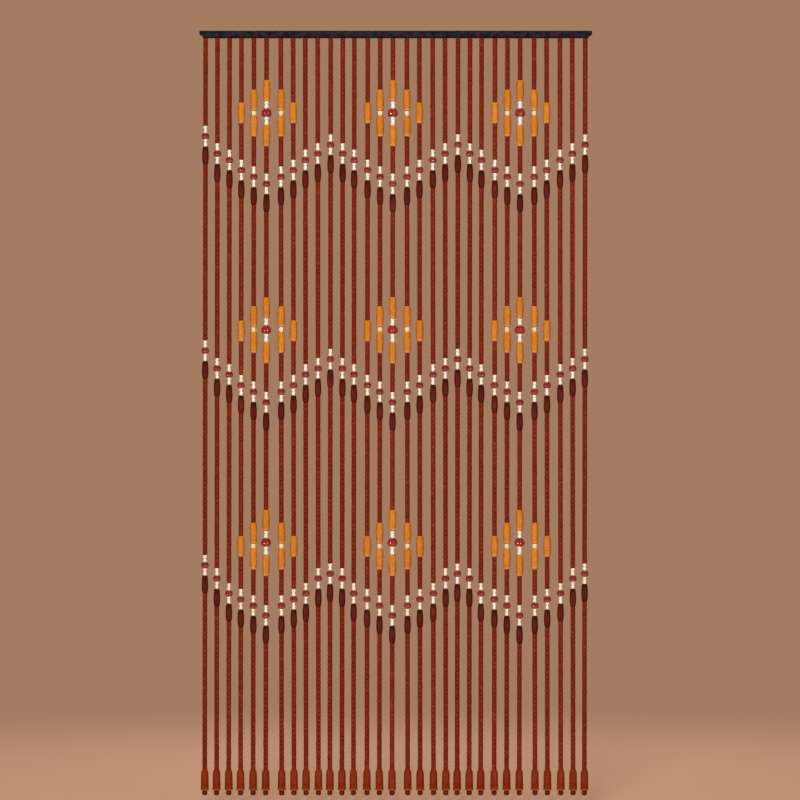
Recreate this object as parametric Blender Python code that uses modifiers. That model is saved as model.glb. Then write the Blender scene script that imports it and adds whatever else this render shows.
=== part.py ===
"""Wooden bead curtain: a header rail, and bead strands that hang from a strip under it.

Metres, +Z up, X along the rail, the front faces -Y. The origin is the middle of the
rail's top face, so the curtain hangs below z = 0. A drop is a distance down from there.
"""
import math
from collections import namedtuple

import bmesh
import bpy

# Header rail: a lath whose lower corners are cut back
RAIL_WIDTH = 0.908
RAIL_HEIGHT = 0.0143
RAIL_DEPTH = 0.016
CORNER_RUN = 0.009          # how far a cut corner reaches along the lower edge
CORNER_RISE = 0.006         # and up the rail's end
EDGE_ROUND = 0.0006
MERGE_DISTANCE = 0.00001        # corners of a mesh that are one and the same point

# Root strip: the strands are fused into it, close under the rail
SEAT_GAP = 0.0003
STRIP_WIDTH = 0.8920
STRIP_HEIGHT = 0.002
STRIP_DEPTH = 0.0124

# Strands
STRANDS = 31
SIDES = 4
FIRST_STRAND_INSET = 0.0141     # from the rail's left end
STRAND_DROP = 1.7687            # the lowest point of every strand
SMALL_BEAD_RADIUS = 0.0056

# The pattern repeats every ten strands. One row for each strand of a ten: the gap to the
# next strand in the first ten and in the later ones, and the foot's drift along X.
Place = namedtuple("Place", "first_gap later_gap drift")
PLACES = (
    Place(0.0275, 0.0279, -0.0021),
    Place(0.0280, 0.0267, -0.0021),
    Place(0.0275, 0.0311, -0.0021),
    Place(0.0289, 0.0288, -0.0021),
    Place(0.0292, 0.0294, -0.0021),
    Place(0.0329, 0.0322, -0.0021),
    Place(0.0285, 0.0288, 0.0020),
    Place(0.0280, 0.0309, 0.0020),
    Place(0.0287, 0.0285, 0.0020),
    Place(0.0303, 0.0301, 0.0020),
)

# Larger beads. A bead has its length and its corners: the share of the length from its
# top, and the radius there. It closes on the first corner of what hangs below it.
Bead = namedtuple("Bead", "length corners")
BEADS = {
    "bone": Bead(0.0179, ((0.0, 0.0041), (0.5, 0.0031))),
    "disc": Bead(0.0127, ((0.0, 0.0064), (0.55, 0.0088))),
    "drop": Bead(0.0412, ((0.0, 0.0062), (0.52, 0.0078))),
    "barrel": Bead(0.0482, ((0.0, 0.0074), (0.3, 0.0087), (0.7, 0.0087))),
    "wide_bone": Bead(0.0179, ((0.0, 0.0050), (0.5, 0.0039))),
    "long_bone": Bead(0.0210, ((0.0, 0.0050), (0.5, 0.0039))),
    "lantern": Bead(0.0176, ((0.0, 0.0088), (0.55, 0.0118))),
    "round": Bead(0.0118, ((0.0, 0.0042), (0.5, 0.0051))),
    "bell": Bead(0.0499, ((0.0, 0.0056), (0.16, 0.0084), (0.93, 0.0096))),
    "foot": Bead(0.0118, ((0.0, 0.0050), (0.45, 0.0061), (0.92, 0.0048))),
}

# Zigzag: the same four beads on every strand, in three bands. One row for each step away
# from a peak, with the drop of the first bead's top in each band.
ZIGZAG_BEADS = ("bone", "disc", "bone", "drop")
Bands = namedtuple("Bands", "upper middle lower")
ZIGZAG_DROPS = (
    Bands(0.2389, 0.7351, 1.2314),
    Bands(0.2596, 0.7565, 1.2425),
    Bands(0.2743, 0.7706, 1.2769),
    Bands(0.2976, 0.7953, 1.2906),
    Bands(0.3131, 0.8105, 1.3053),
    Bands(0.3295, 0.8349, 1.3280),
)
FIRST_STRAND_RISE = 0.0197      # the zigzag's beads sit higher on the first strand

# Flowers: one above each valley of a zigzag. One row for each step away from the flower's
# middle strand, with its beads and the drop of their common middle in each band.
Flower = namedtuple("Flower", "beads drops")
FLOWERS = (
    Flower(("barrel", "wide_bone", "lantern", "long_bone", "barrel"), Bands(0.1905, 0.6925, 1.1845)),
    Flower(("barrel", "round", "barrel"), Bands(0.1902, 0.6908, 1.1917)),
    Flower(("barrel",), Bands(0.1899, 0.6940, 1.1923)),
)


def new_collection(name):
    """Return a new collection linked to the scene."""
    collection = bpy.data.collections.new(name)
    bpy.context.scene.collection.children.link(collection)
    return collection


def new_material(name, color, roughness):
    """Return a Principled material with a plain colour."""
    material = bpy.data.materials.new(name)
    material.use_nodes = True
    shader = material.node_tree.nodes["Principled BSDF"]
    shader.inputs["Base Color"].default_value = (*color, 1.0)
    shader.inputs["Roughness"].default_value = roughness
    return material


def new_object(name, mesh, collection):
    """Return a new object for a mesh, linked to a collection."""
    obj = bpy.data.objects.new(name, mesh)
    collection.objects.link(obj)
    return obj


def rail_outline():
    """Return the rail's front outline as a flat curve, extruded to the rail's depth."""
    half = RAIL_WIDTH / 2
    corners = (
        (-half, 0.0),
        (half, 0.0),
        (half, CORNER_RISE - RAIL_HEIGHT),
        (half - CORNER_RUN, -RAIL_HEIGHT),
        (CORNER_RUN - half, -RAIL_HEIGHT),
        (-half, CORNER_RISE - RAIL_HEIGHT),
    )
    curve = bpy.data.curves.new("rail_outline", "CURVE")
    curve.dimensions = "2D"
    curve.fill_mode = "BOTH"
    curve.extrude = RAIL_DEPTH / 2
    spline = curve.splines.new("POLY")
    spline.points.add(len(corners) - 1)
    for point, (x, z) in zip(spline.points, corners):
        point.co = (x, z, 0.0, 1.0)
    spline.use_cyclic_u = True
    return curve


def build_rail(collection):
    """Make the header rail from its outline, with softened edges."""
    outline = new_object("rail_outline", rail_outline(), collection)
    outline.rotation_euler.x = math.pi / 2
    bpy.context.view_layer.update()
    evaluated = outline.evaluated_get(bpy.context.evaluated_depsgraph_get())
    mesh = bpy.data.meshes.new_from_object(evaluated)
    mesh.transform(outline.matrix_world)
    bpy.data.objects.remove(outline)

    edit = bmesh.new()
    edit.from_mesh(mesh)
    bmesh.ops.remove_doubles(edit, verts=edit.verts, dist=MERGE_DISTANCE)
    bmesh.ops.dissolve_limit(edit, angle_limit=math.radians(1), verts=edit.verts, edges=edit.edges)
    edit.to_mesh(mesh)
    edit.free()

    rail = new_object("header_rail", mesh, collection)
    bevel = rail.modifiers.new("softened edges", "BEVEL")
    bevel.width = EDGE_ROUND
    bevel.segments = 2
    return rail


def steps_from_peak(index):
    """Return how many strands away the nearest peak of the zigzag is."""
    place = index % len(PLACES)
    return min(place, len(PLACES) - place)


def strand_x(index):
    """Return where a strand hangs along the rail."""
    x = FIRST_STRAND_INSET - RAIL_WIDTH / 2
    for before in range(index):
        place = PLACES[before % len(PLACES)]
        x += place.first_gap if before < len(PLACES) else place.later_gap
    return x


def threaded(kinds, drop):
    """Return beads threaded one under another from a drop, as (drop, kind) pairs."""
    beads = []
    for kind in kinds:
        beads.append((drop, kind))
        drop += BEADS[kind].length
    return beads


def run_length(kinds):
    """Return the length of beads threaded one under another."""
    return sum(BEADS[kind].length for kind in kinds)


def larger_beads(index):
    """Return every larger bead of a strand, from the top down, as (drop, kind) pairs."""
    steps = steps_from_peak(index)
    beads = threaded(("bell", "foot"), STRAND_DROP - run_length(("bell", "foot")))
    for drop in ZIGZAG_DROPS[steps]:
        rise = FIRST_STRAND_RISE if index == 0 else 0.0
        beads += threaded(ZIGZAG_BEADS, drop - rise)
    from_middle = len(PLACES) // 2 - steps
    if from_middle < len(FLOWERS):
        flower = FLOWERS[from_middle]
        for drop in flower.drops:
            beads += threaded(flower.beads, drop - run_length(flower.beads) / 2)
    return sorted(beads)


def strand_outline(index):
    """Return the (radius, drop) corners of a strand, from its root in the strip down."""
    reached = RAIL_HEIGHT + SEAT_GAP + STRIP_HEIGHT / 2
    corners = [(0.0, reached), (SMALL_BEAD_RADIUS, reached)]
    for drop, kind in larger_beads(index):
        below_a_larger_bead = len(corners) > 2
        if below_a_larger_bead and drop - reached > SMALL_BEAD_RADIUS:
            corners.append((SMALL_BEAD_RADIUS, reached))
        bead = BEADS[kind]
        corners += [(radius, drop + share * bead.length) for share, radius in bead.corners]
        reached = drop + bead.length
    corners.append((0.0, reached))
    return corners


def build_strand(index, collection):
    """Turn one strand about its own axis, tilted by its drift. It is a guide only."""
    root_drop = RAIL_HEIGHT + SEAT_GAP
    corners = [(radius, 0.0, root_drop - drop) for radius, drop in strand_outline(index)]
    edges = [(corner, corner + 1) for corner in range(len(corners) - 1)]
    mesh = bpy.data.meshes.new("strand_outline")
    mesh.from_pydata(corners, edges, [])
    strand = new_object(f"strand_{index + 1:02d}", mesh, collection)
    strand.location = (strand_x(index), 0.0, -root_drop)
    strand.rotation_euler.y = -math.atan2(PLACES[index % len(PLACES)].drift, STRAND_DROP)
    screw = strand.modifiers.new("turned", "SCREW")
    screw.steps = screw.render_steps = SIDES
    screw.use_smooth_shade = False
    screw.use_merge_vertices = True
    screw.merge_threshold = MERGE_DISTANCE
    strand.hide_render = True
    strand.display_type = "WIRE"


def build_strands(collection, guides):
    """Make the root strip and join every strand to it."""
    for index in range(STRANDS):
        build_strand(index, guides)
    mesh = bpy.data.meshes.new("bead_strands")
    strip = bmesh.new()
    bmesh.ops.create_cube(strip, size=1.0)
    bmesh.ops.scale(strip, vec=(STRIP_WIDTH, STRIP_DEPTH, STRIP_HEIGHT), verts=strip.verts)
    strip.to_mesh(mesh)
    strip.free()
    strands = new_object("bead_strands", mesh, collection)
    strands.location.z = -(RAIL_HEIGHT + SEAT_GAP + STRIP_HEIGHT / 2)
    join = strands.modifiers.new("strands joined to the strip", "BOOLEAN")
    join.operation = "UNION"
    join.operand_type = "COLLECTION"
    join.collection = guides
    join.solver = "EXACT"
    return strands


def main():
    """Build the bead curtain."""
    for obj in list(bpy.data.objects):
        bpy.data.objects.remove(obj)
    curtain = new_collection("bead_curtain")
    guides = new_collection("strand_guides")
    rail = build_rail(curtain)
    rail.data.materials.append(new_material("slate_rail", (0.026, 0.019, 0.020), 0.6))
    strands = build_strands(curtain, guides)
    strands.data.materials.append(new_material("red_brown_wood", (0.20, 0.021, 0.006), 0.35))


main()
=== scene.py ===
"""Looks of the wooden bead curtain: every bead, its thread, the root strip and the finishes.

Metres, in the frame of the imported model: the rail's top face is z = 0, the front faces -Y.
A drop is a distance down from the rail's top.
"""
import math
import random
from collections import namedtuple

import bpy
import numpy as np
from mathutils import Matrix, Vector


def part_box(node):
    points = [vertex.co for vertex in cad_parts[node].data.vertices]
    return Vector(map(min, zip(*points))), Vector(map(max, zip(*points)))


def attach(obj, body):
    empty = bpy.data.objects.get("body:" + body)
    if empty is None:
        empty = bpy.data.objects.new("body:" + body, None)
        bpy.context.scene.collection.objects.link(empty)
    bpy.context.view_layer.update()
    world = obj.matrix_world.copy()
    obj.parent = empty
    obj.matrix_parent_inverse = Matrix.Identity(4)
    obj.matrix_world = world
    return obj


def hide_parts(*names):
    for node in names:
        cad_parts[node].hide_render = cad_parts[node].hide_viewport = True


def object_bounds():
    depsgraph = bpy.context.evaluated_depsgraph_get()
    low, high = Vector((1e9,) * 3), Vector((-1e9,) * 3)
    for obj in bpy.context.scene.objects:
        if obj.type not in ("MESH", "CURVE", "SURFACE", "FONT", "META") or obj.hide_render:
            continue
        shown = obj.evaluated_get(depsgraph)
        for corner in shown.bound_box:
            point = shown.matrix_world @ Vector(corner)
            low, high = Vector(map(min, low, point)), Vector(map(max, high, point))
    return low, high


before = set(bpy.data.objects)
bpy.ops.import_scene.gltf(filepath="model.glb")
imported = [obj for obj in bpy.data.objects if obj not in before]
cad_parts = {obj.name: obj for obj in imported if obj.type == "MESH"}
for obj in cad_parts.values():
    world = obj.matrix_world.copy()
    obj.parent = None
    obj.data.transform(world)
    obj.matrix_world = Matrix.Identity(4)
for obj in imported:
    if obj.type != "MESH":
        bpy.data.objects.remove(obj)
cad_low, cad_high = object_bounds()
rail_low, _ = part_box("header_rail")
strands_low, strands_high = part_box("bead_strands")

# Strands, with the part's own sizes
STRANDS = 31
FIRST_STRAND_INSET = 0.0141
STRIP_HEIGHT = 0.002
STRIP_DEPTH = 0.0124
STRIP_WIDTH = 0.8920
STRIP_EDGE = 0.0005         # how far the strip's edges are softened
ROOT_DROP = -strands_high.z
STRAND_DROP = -strands_low.z

# One row for each strand of a repeat of ten: the gap to the next strand in the first ten
# and in the later ones, and the foot's drift along X
Place = namedtuple("Place", "first_gap later_gap drift")
PLACES = (
    Place(0.0275, 0.0279, -0.0021),
    Place(0.0280, 0.0267, -0.0021),
    Place(0.0275, 0.0311, -0.0021),
    Place(0.0289, 0.0288, -0.0021),
    Place(0.0292, 0.0294, -0.0021),
    Place(0.0329, 0.0322, -0.0021),
    Place(0.0285, 0.0288, 0.0020),
    Place(0.0280, 0.0309, 0.0020),
    Place(0.0287, 0.0285, 0.0020),
    Place(0.0303, 0.0301, 0.0020),
)

# Zigzag and flowers: the drop of each band's beads, for each step away from a peak or from
# a flower's middle strand
Bands = namedtuple("Bands", "upper middle lower")
ZIGZAG_BEADS = ("bone", "disc", "bone", "drop")
ZIGZAG_DROPS = (
    Bands(0.2389, 0.7351, 1.2314),
    Bands(0.2596, 0.7565, 1.2425),
    Bands(0.2743, 0.7706, 1.2769),
    Bands(0.2976, 0.7953, 1.2906),
    Bands(0.3131, 0.8105, 1.3053),
    Bands(0.3295, 0.8349, 1.3280),
)
FIRST_STRAND_RISE = 0.0197
Flower = namedtuple("Flower", "beads drops")
FLOWERS = (
    Flower(("barrel", "wide_bone", "lantern", "long_bone", "barrel"), Bands(0.1905, 0.6925, 1.1845)),
    Flower(("barrel", "round", "barrel"), Bands(0.1902, 0.6908, 1.1917)),
    Flower(("barrel",), Bands(0.1899, 0.6940, 1.1923)),
)

# Threading: small beads fill what the larger ones leave, a little loose on the thread
SMALL_BEAD_PITCH = 0.0108
PLAY = 0.00004              # air between two beads
THREAD_RADIUS = 0.0008
THREAD_SIDES = 6
HOLE_DIMPLE = 0.0005        # how far a bead's end sinks towards its hole
KNOT_DROP = 0.0010          # how far the knot shows below the end bead
KNOT_SCALE = 0.0006         # a third of the knot's radius
KNOT_STEPS = 30
SMALL_BEAD_GROUPS = 4       # the small beads are joined into this many pieces

# Every strand has a tone of its own, from 0 to 1
RANDOM_SEED = 31
random.seed(RANDOM_SEED)
STRAND_BATCHES = [random.random() for _ in range(STRANDS)]

# How uneven the beads are: their size as a share, their lean in radians, their shift in metres
Unevenness = namedtuple("Unevenness", "size lean shift")
SMALL_UNEVENNESS = Unevenness(0.022, 0.012, 0.00012)
LARGE_UNEVENNESS = Unevenness(0.010, 0.006, 0.00008)
GIRTH_SPREAD = (-1.6, 0.4)  # in units of the uneven size: more beads are slim than stout


def rounded(end, middle, power, rings, sag=0.0):
    """Outline of a bead that swells from its ends to its middle, as (share, radius) rows.

    The widest place lies the sag's share below the middle.
    """
    rows = []
    for ring in range(rings):
        turn = -math.cos(math.pi * ring / (rings - 1))
        swell = math.sqrt(max(0.0, 1.0 - abs(turn) ** power))
        rows.append(((turn + 1) / 2 + sag * (1 - turn ** 2), end + (middle - end) * swell))
    return rows


def bone_outline(waist, lobe, lobe_at=0.55, lobe_length=0.56, rings=15):
    """Outline of a bone bead: two round lobes with a waist between them."""
    rows = []
    for ring in range(rings):
        turn = 2 * ring / (rings - 1) - 1
        reach = abs(turn)
        if reach <= lobe_at:
            radius = waist + (lobe - waist) * math.sin(math.pi / 2 * reach / lobe_at) ** 2
        else:
            radius = lobe * math.sqrt(1 - ((reach - lobe_at) / lobe_length) ** 2)
        rows.append(((turn + 1) / 2, radius))
    return rows


def drop_outline(top=0.0060, widest=0.0078, bottom=0.0055, widest_at=0.54, top_rim=0.0008,
                 bottom_rim=0.0006, rings=13):
    """Outline of a dark drop: a flat top, widest at its middle, and drawn in at its foot."""
    rows = [(0.0, top - top_rim)]
    for ring in range(1, rings):
        share = (1 - math.cos(math.pi * ring / rings)) / 2
        if share < widest_at:
            reach = 1 - share / widest_at
            radius = widest - (widest - top) * reach ** 2
        else:
            reach = (share - widest_at) / (1 - widest_at)
            radius = widest - (widest - bottom) * reach ** 2.6
        rows.append((share, radius))
    rows.append((1.0, bottom - bottom_rim))
    return rows


def barrel_outline(end=0.0074, middle=0.0088, rim=0.0009, rim_share=0.012, rings=13):
    """Outline of a barrel: sides that swell to the middle, and rounded rims at both ends."""
    rows = [(0.0, end - rim)]
    for ring in range(rings):
        share = rim_share + (1 - 2 * rim_share) * ring / (rings - 1)
        rows.append((share, middle - (middle - end) * (2 * share - 1) ** 2))
    rows.append((1.0, end - rim))
    return rows


# Outlines with turned details of their own, as (share, radius) rows from the top down
SMALL_OUTLINE = ((0.0, 0.0050), (0.05, 0.0054), (0.5, 0.0057), (0.95, 0.0054), (1.0, 0.0050))
BELL_OUTLINE = (
    (0.0, 0.0052), (0.006, 0.0057), (0.03, 0.0060), (0.06, 0.0066), (0.10, 0.0075),
    (0.14, 0.0081), (0.18, 0.0085), (0.25, 0.0087), (0.40, 0.0089), (0.60, 0.0090),
    (0.765, 0.0092), (0.775, 0.0088), (0.79, 0.0088), (0.80, 0.0093), (0.845, 0.0094),
    (0.855, 0.0088), (0.87, 0.0088), (0.88, 0.0095), (0.94, 0.0097), (0.975, 0.0096),
    (0.99, 0.0090), (1.0, 0.0074),
)
LANTERN_OUTLINE = (
    (0.0, 0.0056), (0.03, 0.0066), (0.08, 0.0078), (0.15, 0.0089), (0.24, 0.0101),
    (0.33, 0.0110), (0.41, 0.0114), (0.47, 0.0114), (0.54, 0.0117), (0.62, 0.0118),
    (0.72, 0.0116), (0.81, 0.0111), (0.89, 0.0103), (0.96, 0.0091), (1.0, 0.0077),
)

# Beads: length, sides and outline from the top down
Bead = namedtuple("Bead", "length sides outline")
BEADS = {
    "small": Bead(SMALL_BEAD_PITCH, 14, SMALL_OUTLINE),
    "bone": Bead(0.0179, 18, bone_outline(0.0031, 0.0042)),
    "disc": Bead(0.0127, 22, rounded(0.0051, 0.0088, 2.0, 11, sag=0.06)),
    "drop": Bead(0.0412, 20, drop_outline()),
    "barrel": Bead(0.0482, 24, barrel_outline()),
    "wide_bone": Bead(0.0179, 18, bone_outline(0.0039, 0.0051)),
    "long_bone": Bead(0.0210, 18, bone_outline(0.0039, 0.0051)),
    "lantern": Bead(0.0176, 30, LANTERN_OUTLINE),
    "round": Bead(0.0118, 18, rounded(0.0029, 0.0052, 2.0, 11)),
    "bell": Bead(0.0499, 24, BELL_OUTLINE),
    "foot": Bead(0.0108, 20, rounded(0.0044, 0.0063, 2.2, 9)),
}


def linear(red, green, blue):
    """Turn a colour given as 0 to 255 display values into linear ones."""
    def one(value):
        value /= 255
        return value / 12.92 if value <= 0.04045 else ((value + 0.055) / 1.055) ** 2.4
    return one(red), one(green), one(blue), 1.0


def strand_x(index):
    """Where a strand hangs along the rail, at its root."""
    x = rail_low.x + FIRST_STRAND_INSET
    for before in range(index):
        place = PLACES[before % len(PLACES)]
        x += place.first_gap if before < len(PLACES) else place.later_gap
    return x


def strand_point(index, drop):
    """The point of a strand's axis at a drop."""
    drift = PLACES[index % len(PLACES)].drift * (drop - ROOT_DROP) / STRAND_DROP
    return np.array((strand_x(index) + drift, 0.0, -drop))


def threaded(kinds, drop):
    """Beads threaded one under another from a drop, as (drop, kind) pairs."""
    beads = []
    for kind in kinds:
        beads.append((drop, kind))
        drop += BEADS[kind].length
    return beads


def run_length(kinds):
    """The length of beads threaded one under another."""
    return sum(BEADS[kind].length for kind in kinds)


def larger_beads(index):
    """Every larger bead of a strand, from the top down, as (drop, kind) pairs."""
    place = index % len(PLACES)
    steps = min(place, len(PLACES) - place)
    beads = threaded(("bell", "foot"), STRAND_DROP - KNOT_DROP - run_length(("bell", "foot")))
    for drop in ZIGZAG_DROPS[steps]:
        rise = FIRST_STRAND_RISE if index == 0 else 0.0
        beads += threaded(ZIGZAG_BEADS, drop - rise)
    from_middle = len(PLACES) // 2 - steps
    if from_middle < len(FLOWERS):
        flower = FLOWERS[from_middle]
        for drop in flower.drops:
            beads += threaded(flower.beads, drop - run_length(flower.beads) / 2)
    return sorted(beads)


def strand_beads(index):
    """Every bead of a strand as (kind, drop of its top, length), small ones included."""
    reached = ROOT_DROP + STRIP_HEIGHT
    beads = []
    for drop, kind in larger_beads(index):
        run = drop - reached
        count = round(run / SMALL_BEAD_PITCH)
        for place in range(count):
            beads.append(("small", reached + place * run / count, run / count))
        beads.append((kind, drop, BEADS[kind].length))
        reached = drop + BEADS[kind].length
    return beads


def circle(sides):
    """Directions evenly round a circle, as (cosine, sine) pairs."""
    angles = [2 * math.pi * side / sides for side in range(sides)]
    return [(math.cos(angle), math.sin(angle)) for angle in angles]


def joined(parts):
    """One list of corners and one of faces, from (corners, faces) parts."""
    all_corners, all_faces = [], []
    for corners, faces in parts:
        start = len(all_corners)
        all_corners += corners
        all_faces += [tuple(start + corner for corner in face) for face in faces]
    return all_corners, all_faces


def dressed(name, mesh):
    """An object for a mesh that stands for the strands and rides with the curtain."""
    obj = bpy.data.objects.new(name, mesh)
    bpy.context.scene.collection.objects.link(obj)
    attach(obj, "root")
    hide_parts("bead_strands")
    return obj


def smooth_piece(name, parts, material):
    """A dressed object with smooth shading, joined from (corners, faces) parts."""
    corners, faces = joined(parts)
    mesh = bpy.data.meshes.new(name)
    mesh.from_pydata(corners, [], faces)
    mesh.shade_smooth()
    mesh.materials.append(material)
    return dressed(name, mesh)


def turned_template(bead):
    """Corners, faces and place along the axis of a unit-length bead, with dimpled ends."""
    sides = bead.sides
    dimple = HOLE_DIMPLE / bead.length
    corners = [(0.0, 0.0, -dimple)]
    along = [-1.0]
    for share, radius in bead.outline:
        for cosine, sine in circle(sides):
            corners.append((radius * cosine, radius * sine, -share))
            along.append(2 * share - 1)
    corners.append((0.0, 0.0, dimple - 1))
    along.append(1.0)
    last_ring = 1 + (len(bead.outline) - 1) * sides
    faces = []
    for side in range(sides):
        after = (side + 1) % sides
        faces.append((0, 1 + side, 1 + after))
        faces.append((len(corners) - 1, last_ring + after, last_ring + side))
        for ring in range(1, last_ring, sides):
            faces.append((ring + side, ring + sides + side, ring + sides + after, ring + after))
    return np.array(corners), faces, np.array(along)


def turn_matrix(angle, lean_x, lean_y):
    """A turn about the strand, then a slight lean to either side."""
    c, s = math.cos(angle), math.sin(angle)
    spin = np.array(((c, -s, 0.0), (s, c, 0.0), (0.0, 0.0, 1.0)))
    lean = np.array(((1.0, 0.0, lean_x), (0.0, 1.0, lean_y), (-lean_x, -lean_y, 1.0)))
    return lean @ spin


def joined_beads(name, kind, placed, material):
    """One mesh of many beads of a kind. placed holds (strand, drop, length) rows.

    Each corner keeps its bead's tone, its strand's tone and its place along the bead.
    """
    corners, faces, along = turned_template(BEADS[kind])
    uneven = SMALL_UNEVENNESS if kind == "small" else LARGE_UNEVENNESS
    parts, tones, batches = [], [], []
    for strand, drop, length in placed:
        girth = 1 + uneven.size * random.uniform(*GIRTH_SPREAD)
        scaled = corners * (girth, girth, length - PLAY)
        scaled[:, 2] += length / 2
        turn = turn_matrix(random.uniform(0, 2 * math.pi), uneven.lean * random.uniform(-1, 1),
                           uneven.lean * random.uniform(-1, 1))
        shift = np.array((random.uniform(-1, 1), random.uniform(-1, 1), 0.0)) * uneven.shift
        centre = strand_point(strand, drop + length / 2)
        parts.append(((scaled @ turn.T + centre + shift).tolist(), faces))
        tones += [random.random()] * len(corners)
        batches += [STRAND_BATCHES[strand]] * len(corners)
    beads = smooth_piece(name, parts, material)
    for attribute, values in (("tone", tones), ("batch", batches), ("along", np.tile(along, len(placed)))):
        layer = beads.data.attributes.new(attribute, "FLOAT", "POINT")
        layer.data.foreach_set("value", np.asarray(values, np.float32))


class Nodes:
    """Adds and links a material's nodes."""

    def __init__(self, name):
        self.material = bpy.data.materials.new(name)
        self.material.use_nodes = True
        self.tree = self.material.node_tree
        self.shader = self.tree.nodes["Principled BSDF"]

    def add(self, kind, **settings):
        """Add a node and set its properties."""
        node = self.tree.nodes.new(kind)
        for setting, value in settings.items():
            setattr(node, setting, value)
        return node

    def link(self, output, target):
        """Link an output socket to an input socket."""
        self.tree.links.new(output, target)

    def attribute(self, name):
        """A value stored in the mesh."""
        return self.add("ShaderNodeAttribute", attribute_name=name).outputs["Fac"]

    def math(self, operation, first, second=None):
        """A sum on sockets or numbers."""
        node = self.add("ShaderNodeMath", operation=operation)
        for socket, value in zip(node.inputs, (first, second)):
            if value is None:
                continue
            if isinstance(value, (int, float)):
                socket.default_value = value
            else:
                self.link(value, socket)
        return node.outputs[0]

    def mix(self, factor, first, second):
        """A mix of two colours, each a tuple or a socket, by a factor's socket."""
        node = self.add("ShaderNodeMix", data_type="RGBA")
        self.link(factor, node.inputs[0])
        for socket, value in ((node.inputs[6], first), (node.inputs[7], second)):
            if isinstance(value, tuple):
                socket.default_value = value
            else:
                self.link(value, socket)
        return node.outputs[2]

    def noise(self, scale, stretch, detail, roughness, shift=None):
        """Noise in the object's own metres, stretched, and shifted by a socket's value."""
        coordinates = self.add("ShaderNodeTexCoord").outputs["Object"]
        mapping = self.add("ShaderNodeMapping")
        mapping.inputs["Scale"].default_value = stretch
        self.link(coordinates, mapping.inputs["Vector"])
        vector = mapping.outputs[0]
        if shift is not None:
            moved = self.add("ShaderNodeVectorMath", operation="ADD")
            self.link(vector, moved.inputs[0])
            self.link(shift, moved.inputs[1])
            vector = moved.outputs[0]
        noise = self.add("ShaderNodeTexNoise")
        noise.inputs["Scale"].default_value = scale
        noise.inputs["Detail"].default_value = detail
        noise.inputs["Roughness"].default_value = roughness
        self.link(vector, noise.inputs["Vector"])
        return noise.outputs["Fac"]

    def stretch(self, value, low, high):
        """A value spread so that low gives 0 and high gives 1."""
        node = self.add("ShaderNodeMapRange", clamp=True)
        node.inputs["From Min"].default_value = low
        node.inputs["From Max"].default_value = high
        self.link(value, node.inputs["Value"])
        return node.outputs["Result"]

    def bump(self, height, distance, strength):
        """Relief of the surface."""
        node = self.add("ShaderNodeBump")
        node.inputs["Strength"].default_value = strength
        node.inputs["Distance"].default_value = distance
        self.link(height, node.inputs["Height"])
        self.link(node.outputs[0], self.shader.inputs["Normal"])


# Wood: how fine its grain and its clouds are, how far a tone moves them, and how much a
# bead's and a strand's own tone lighten it
GRAIN_SCALE = 900.0
CLOUD_SCALE = 140.0
TONE_SHIFT = 7.0
TONE_WEIGHT = 0.55
BATCH_WEIGHT = 0.35


def lacquered_wood(name, middle, deep, pale, ends, end_amount, coat=0.0, rims="both",
                   rim_from=0.72, rim_full=1.0, polish=0.12, coat_ior=1.5):
    """Lacquered turned wood: grain along the bead, a tone of its own, and a colour at its rims: their own
    tone on some beads, painted light and shade on others.
    """
    wood = Nodes(name)
    tone = wood.attribute("tone")
    batch = wood.attribute("batch")
    shift = wood.math("MULTIPLY", tone, TONE_SHIFT)
    grain = wood.noise(GRAIN_SCALE, (1.0, 1.0, 0.10), 4.0, 0.6, shift)
    streaks = wood.stretch(grain, 0.38, 0.66)
    clouds = wood.stretch(wood.noise(CLOUD_SCALE, (1.0, 1.0, 0.5), 2.0, 0.5, shift), 0.3, 0.7)
    color = wood.mix(streaks, deep, middle)
    own = wood.math("MULTIPLY", tone, TONE_WEIGHT)
    shared = wood.math("MULTIPLY", batch, BATCH_WEIGHT)
    lightness = wood.math("ADD", own, shared)
    color = wood.mix(wood.math("MULTIPLY", lightness, clouds), color, pale)

    # The rim colour: darker joints on the small beads and their own tone on bones, round and end beads; a
    # painted highlight on the lower rims of bells, discs and barrels; painted shade on the lantern's ends
    # and the drop's top.
    reach = wood.attribute("along")
    if rims == "both":
        reach = wood.math("ABSOLUTE", reach)
    if rims == "upper":
        reach = wood.math("MULTIPLY", reach, -1.0)
    rim = wood.stretch(reach, rim_from, rim_full)
    color = wood.mix(wood.math("MULTIPLY", rim, end_amount), color, ends)
    wood.link(color, wood.shader.inputs["Base Color"])

    rough = wood.math("SUBTRACT", 0.40, wood.math("MULTIPLY", streaks, 0.06))
    wood.link(rough, wood.shader.inputs["Roughness"])
    wood.shader.inputs["Specular IOR Level"].default_value = 0.04
    wood.shader.inputs["Coat Weight"].default_value = coat
    wood.shader.inputs["Coat Roughness"].default_value = polish
    wood.shader.inputs["Coat IOR"].default_value = coat_ior
    wood.bump(grain, 0.00015, 0.25)
    return wood.material


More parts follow.
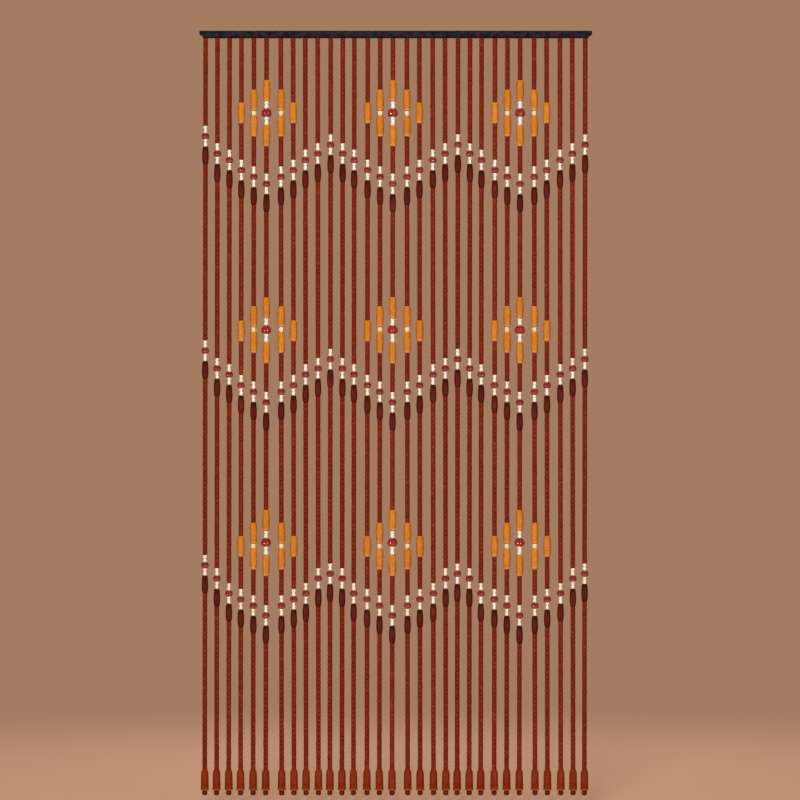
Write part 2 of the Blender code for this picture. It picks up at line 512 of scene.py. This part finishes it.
def slate_rail_material(name, painted_shade_factor=1.0):
    """Dark slate paint on a lath: small violet, blue and green-grey blotches and brush marks."""
    # A factor below 1 darkens every colour: painted shade, used for the strip in the rail's shadow.
    paint = Nodes(name)
    blotch = paint.stretch(paint.noise(105.0, (0.7, 1.0, 1.2), 2.0, 0.55), 0.40, 0.62)
    tint = paint.stretch(paint.noise(64.0, (0.8, 2.0, 1.0), 2.0, 0.5), 0.42, 0.58)
    cool = paint.stretch(paint.noise(47.0, (1.0, 1.0, 0.8), 1.0, 0.5), 0.46, 0.62)
    marks = paint.noise(260.0, (0.12, 1.0, 1.0), 4.0, 0.6)

    def shade(red, green, blue):
        return tuple(painted_shade_factor * value for value in linear(red, green, blue)[:3]) + (1.0,)

    violet, green_grey = shade(50, 30, 44), shade(36, 38, 34)
    navy, dark = shade(34, 34, 52), shade(22, 15, 15)
    color = paint.mix(tint, violet, green_grey)
    color = paint.mix(cool, color, navy)
    color = paint.mix(blotch, color, dark)
    paint.link(color, paint.shader.inputs["Base Color"])
    rough = paint.math("ADD", paint.math("MULTIPLY", marks, 0.25), 0.36)
    paint.link(rough, paint.shader.inputs["Roughness"])
    paint.shader.inputs["Specular IOR Level"].default_value = 0.10
    paint.bump(marks, 0.0002, 0.35)
    return paint.material


def thread_material():
    """Waxed brown twine with the ridges of its twist."""
    twine = Nodes("thread")
    coordinates = twine.add("ShaderNodeTexCoord").outputs["Object"]
    wave = twine.add("ShaderNodeTexWave", wave_type="BANDS", bands_direction="DIAGONAL")
    wave.inputs["Scale"].default_value = 260.0
    wave.inputs["Distortion"].default_value = 1.5
    twine.link(coordinates, wave.inputs["Vector"])
    color = twine.mix(wave.outputs["Fac"], linear(64, 26, 16), linear(104, 50, 32))
    twine.link(color, twine.shader.inputs["Base Color"])
    twine.shader.inputs["Roughness"].default_value = 0.7
    twine.bump(wave.outputs["Fac"], 0.0002, 0.5)
    return twine.material


def thread_part(strand):
    """Corners and faces of a strand's thread, from the root strip down into its knot."""
    sides = THREAD_SIDES
    corners = []
    for drop in (ROOT_DROP + STRIP_HEIGHT / 2, STRAND_DROP - KNOT_SCALE):
        point = strand_point(strand, drop)
        for cosine, sine in circle(sides):
            corners.append((point[0] + THREAD_RADIUS * cosine, point[1] + THREAD_RADIUS * sine, point[2]))
    faces = [tuple(range(sides)), tuple(reversed(range(sides, 2 * sides)))]
    for side in range(sides):
        after = (side + 1) % sides
        faces.append((side, sides + side, sides + after, after))
    return corners, faces


def make_threads(material):
    """The thread of every strand."""
    smooth_piece("threads", [thread_part(strand) for strand in range(STRANDS)], material)


def knot_place(angle):
    """Where the middle of the thread runs in a trefoil knot, so far round."""
    return KNOT_SCALE * np.array((math.sin(angle) + 2 * math.sin(2 * angle),
                                  math.cos(angle) - 2 * math.cos(2 * angle), -math.sin(3 * angle)))


def knot_ring(angle, look=0.01):
    """Points round the thread's section in a knot, so far round.

    The thread's direction there is read a little to either side.
    """
    forward = knot_place(angle + look) - knot_place(angle - look)
    forward /= np.linalg.norm(forward)
    across = np.cross(forward, (0.0, 0.0, 1.0))
    across /= np.linalg.norm(across)
    upward = np.cross(across, forward)
    points = []
    for cosine, sine in circle(THREAD_SIDES):
        points.append(knot_place(angle) + THREAD_RADIUS * (cosine * across + sine * upward))
    return points


def knot_faces():
    """The faces that join the rings of a knot, the last one to the first."""
    faces = []
    for step in range(KNOT_STEPS):
        this = step * THREAD_SIDES
        following = (step + 1) % KNOT_STEPS * THREAD_SIDES
        for side in range(THREAD_SIDES):
            after = (side + 1) % THREAD_SIDES
            faces.append((this + side, this + after, following + after, following + side))
    return faces


def make_knots(material):
    """The knot under the end bead of every strand."""
    rings = [knot_ring(2 * math.pi * step / KNOT_STEPS) for step in range(KNOT_STEPS)]
    faces = knot_faces()
    parts = []
    for strand in range(STRANDS):
        middle = strand_point(strand, STRAND_DROP - KNOT_SCALE - THREAD_RADIUS)
        parts.append(([tuple(point + middle) for ring in rings for point in ring], faces))
    smooth_piece("knots", parts, material)


def make_root_strip(material):
    """The narrow strip under the rail that the strands hang from, with softened edges."""
    bpy.ops.mesh.primitive_cube_add(size=1.0)
    strip = bpy.context.object
    strip.scale = (STRIP_WIDTH, STRIP_DEPTH, STRIP_HEIGHT)
    strip.location = (0.0, 0.0, -(ROOT_DROP + STRIP_HEIGHT / 2))
    bpy.ops.object.transform_apply(location=True, rotation=False, scale=True)
    mesh = strip.data
    bpy.data.objects.remove(strip)
    mesh.materials.append(material)
    strip = dressed("root_strip", mesh)
    bevel = strip.modifiers.new("softened edges", "BEVEL")
    bevel.width = STRIP_EDGE
    bevel.segments = 2


def bead_finishes():
    """The slot and the material of every kind of bead.

    A wood has its middle, deep and pale tones, then the colour of its rims and how much of it; on the
    bell, disc and barrel that colour is a painted highlight, on the lantern and drop painted shade.
    """
    white = lacquered_wood(
        "white_wood", linear(246, 228, 206), linear(240, 219, 194), linear(252, 240, 222),
        linear(232, 208, 180), 0.3)
    return {
        "small": ("red_brown_wood", lacquered_wood(
            "red_brown_wood", linear(119, 39, 13), linear(98, 27, 9), linear(138, 47, 26),
            linear(96, 28, 11), 0.15, rim_from=0.8)),
        # The bell's lighter bottom rim is a painted highlight.
        "bell": ("red_brown_wood", lacquered_wood(
            "bell_wood", linear(127, 42, 10), linear(109, 31, 7), linear(135, 49, 15),
            linear(176, 88, 60), 0.7, rims="lower", rim_from=0.83, rim_full=0.92)),
        "foot": ("maroon_wood", lacquered_wood(
            "end_bead_wood", linear(90, 28, 6), linear(70, 18, 4), linear(108, 40, 14),
            linear(62, 10, 3), 0.5)),
        "bone": ("white_wood", white),
        "wide_bone": ("white_wood", white),
        "long_bone": ("white_wood", white),
        "round": ("white_wood", lacquered_wood(
            "cream_wood", linear(252, 214, 168), linear(246, 204, 154), linear(254, 226, 188),
            linear(232, 188, 134), 0.4)),
        # The disc's lighter lower half is a painted highlight, as if lit from below.
        "disc": ("crimson_wood", lacquered_wood(
            "crimson_disc_wood", linear(122, 40, 34), linear(104, 30, 26), linear(142, 58, 52),
            linear(196, 104, 94), 0.4, coat=0.2, rims="lower", rim_from=-0.1, rim_full=0.6)),
        # The lantern's darker top and bottom rims are painted shade.
        "lantern": ("crimson_wood", lacquered_wood(
            "crimson_lantern_wood", linear(154, 30, 34), linear(128, 18, 22), linear(174, 50, 52),
            linear(104, 24, 22), 0.5, coat=1.0, rim_from=0.7, coat_ior=2.0)),
        # The drop's darker top is painted shade, as if lit from below.
        "drop": ("maroon_wood", lacquered_wood(
            "maroon_wood", linear(87, 25, 14), linear(70, 18, 9), linear(103, 37, 24),
            linear(40, 12, 2), 0.8, rims="upper", rim_from=0.3)),
        # The barrel's lighter lower end is a painted highlight.
        "barrel": ("yellow_wood", lacquered_wood(
            "yellow_wood", linear(196, 118, 28), linear(178, 101, 18), linear(208, 134, 50),
            linear(224, 156, 98), 0.8, coat=0.06, rims="lower", polish=0.3)),
    }


def make_beads():
    """Every bead of the curtain, joined by kind, and the small ones in groups of strands."""
    placed = {}
    for strand in range(STRANDS):
        for kind, drop, length in strand_beads(strand):
            group = kind
            if kind == "small":
                group = f"small_{strand * SMALL_BEAD_GROUPS // STRANDS + 1}"
            placed.setdefault(group, []).append((strand, drop, length))
    finishes = bead_finishes()
    for group, rows in placed.items():
        kind = "small" if group.startswith("small") else group
        slot, material = finishes[kind]
        joined_beads(f"{group}_beads", kind, rows, material)


def dress_rail():
    """Give the header rail its painted finish."""
    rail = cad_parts["header_rail"]
    rail.data.materials.clear()
    rail.data.materials.append(slate_rail_material("slate_rail"))


# The photograph's frame: its size in pixels, where the rail's top middle lies in it, and
# the real width of a pixel
IMAGE_SIDE = 800
RAIL_TOP_PIXEL = (395.75, 31.0)
METRES_PER_PIXEL = 0.90 / 389
CAMERA_DISTANCE = 10.0
SENSOR = 36.0


def make_camera():
    """A long lens straight in front, framed as the photograph is."""
    data = bpy.data.cameras.new("camera")
    data.sensor_width = SENSOR
    data.lens = SENSOR * CAMERA_DISTANCE / (IMAGE_SIDE * METRES_PER_PIXEL)
    data.clip_end = 100.0
    camera = bpy.data.objects.new("camera", data)
    x = (IMAGE_SIDE / 2 - RAIL_TOP_PIXEL[0]) * METRES_PER_PIXEL
    z = (RAIL_TOP_PIXEL[1] - IMAGE_SIDE / 2) * METRES_PER_PIXEL
    camera.location = (x, -CAMERA_DISTANCE, z)
    camera.rotation_euler = (math.radians(90), 0.0, 0.0)
    bpy.context.scene.collection.objects.link(camera)
    bpy.context.scene.camera = camera


FLOOR_GAP = 0.03            # from the lowest bead down to the floor
FLOOR_RADIUS = 3.6
FLOOR_SIDES = 96
FLOOR_FADE_START = 0.5      # the floor is whole this far out, and fades to nothing at its rim
BACKDROP = linear(164, 124, 98)
STUDIO_GLOW = 0.10          # how strong the studio is as a light, of what it is to look at


def make_stage():
    """A plain round floor that fades into the plain warm studio around it."""
    bpy.ops.mesh.primitive_circle_add(vertices=FLOOR_SIDES, radius=FLOOR_RADIUS, fill_type="NGON")
    stage = bpy.context.object
    stage.name = "stage"
    stage.location.z = cad_low.z - FLOOR_GAP
    paper = Nodes("studio_paper")
    paper.shader.inputs["Base Color"].default_value = linear(186, 144, 116)
    paper.shader.inputs["Roughness"].default_value = 0.9
    paper.shader.inputs["Specular IOR Level"].default_value = 0.1
    place = paper.add("ShaderNodeTexCoord").outputs["Object"]
    radius = paper.add("ShaderNodeVectorMath", operation="LENGTH")
    paper.link(place, radius.inputs[0])
    fade = paper.add("ShaderNodeMapRange", interpolation_type="SMOOTHERSTEP")
    fade.inputs["From Min"].default_value = FLOOR_FADE_START
    fade.inputs["From Max"].default_value = FLOOR_RADIUS
    fade.inputs["To Min"].default_value = 1.0
    fade.inputs["To Max"].default_value = 0.0
    paper.link(radius.outputs["Value"], fade.inputs["Value"])
    paper.link(fade.outputs["Result"], paper.shader.inputs["Alpha"])
    stage.data.materials.append(paper.material)


def add_area_light(name, place, target, side, power, color=(1.0, 1.0, 1.0), gives="both"):
    """A square soft light that faces a target, and gives a glow, highlights or both."""
    data = bpy.data.lights.new(name, "AREA")
    data.shape = "SQUARE"
    data.size = side
    data.energy = power
    data.color = color
    light = bpy.data.objects.new(name, data)
    light.location = place
    light.visible_glossy = gives != "glow"
    light.visible_diffuse = gives != "highlights"
    direction = np.array(target) - np.array(place)
    level = math.hypot(direction[0], direction[1])
    light.rotation_euler = (math.atan2(level, -direction[2]), 0.0, math.atan2(-direction[0], direction[1]))
    bpy.context.scene.collection.objects.link(light)


def make_lights():
    """Soft studio light, mostly from the front and a little from the left, above and behind.

    The two low lights only give the lacquer its highlights.
    """
    middle = (0.0, 0.0, (cad_low.z + cad_high.z) / 2)
    foot = (0.0, 0.0, cad_low.z)
    add_area_light("key", (-0.7, -7.1, 2.0), middle, side=1.2, power=700.0,
                   color=(1.0, 0.97, 0.94), gives="glow")
    add_area_light("fill", (3.0, -5.6, 1.6), middle, side=2.0, power=12.0, color=(0.97, 0.98, 1.0))
    add_area_light("overhead", (0.0, -1.2, 3.4), foot, side=3.0, power=30.0, gives="glow")
    for x in (-3.6, 3.6):
        add_area_light("low_front", (x, -5.0, cad_low.z + 0.3), middle, side=0.35, power=170.0,
                       color=(1.0, 0.86, 0.86), gives="highlights")
    add_area_light("rear", (0.4, 6.8, 2.6), middle, side=2.4, power=600.0, gives="glow")


def make_world():
    """A plain warm studio: dim as a light, so that the beads keep their depth, and even to look at."""
    world = bpy.data.worlds.new("studio")
    world.use_nodes = True
    nodes, links = world.node_tree.nodes, world.node_tree.links
    background = nodes["Background"]
    background.inputs["Color"].default_value = BACKDROP
    seen = nodes.new("ShaderNodeLightPath").outputs["Is Camera Ray"]
    strength = nodes.new("ShaderNodeMapRange")
    strength.inputs["To Min"].default_value = STUDIO_GLOW
    links.new(seen, strength.inputs["Value"])
    links.new(strength.outputs["Result"], background.inputs["Strength"])
    bpy.context.scene.world = world
    bpy.context.scene.view_settings.view_transform = "Standard"


make_camera()
make_stage()
make_lights()
make_world()
dress_rail()
# The strip takes the rail's paint at 0.6: painted shade under the rail.
make_root_strip(slate_rail_material("slate_strip", 0.6))
twine = thread_material()
make_threads(twine)
make_knots(twine)
make_beads()
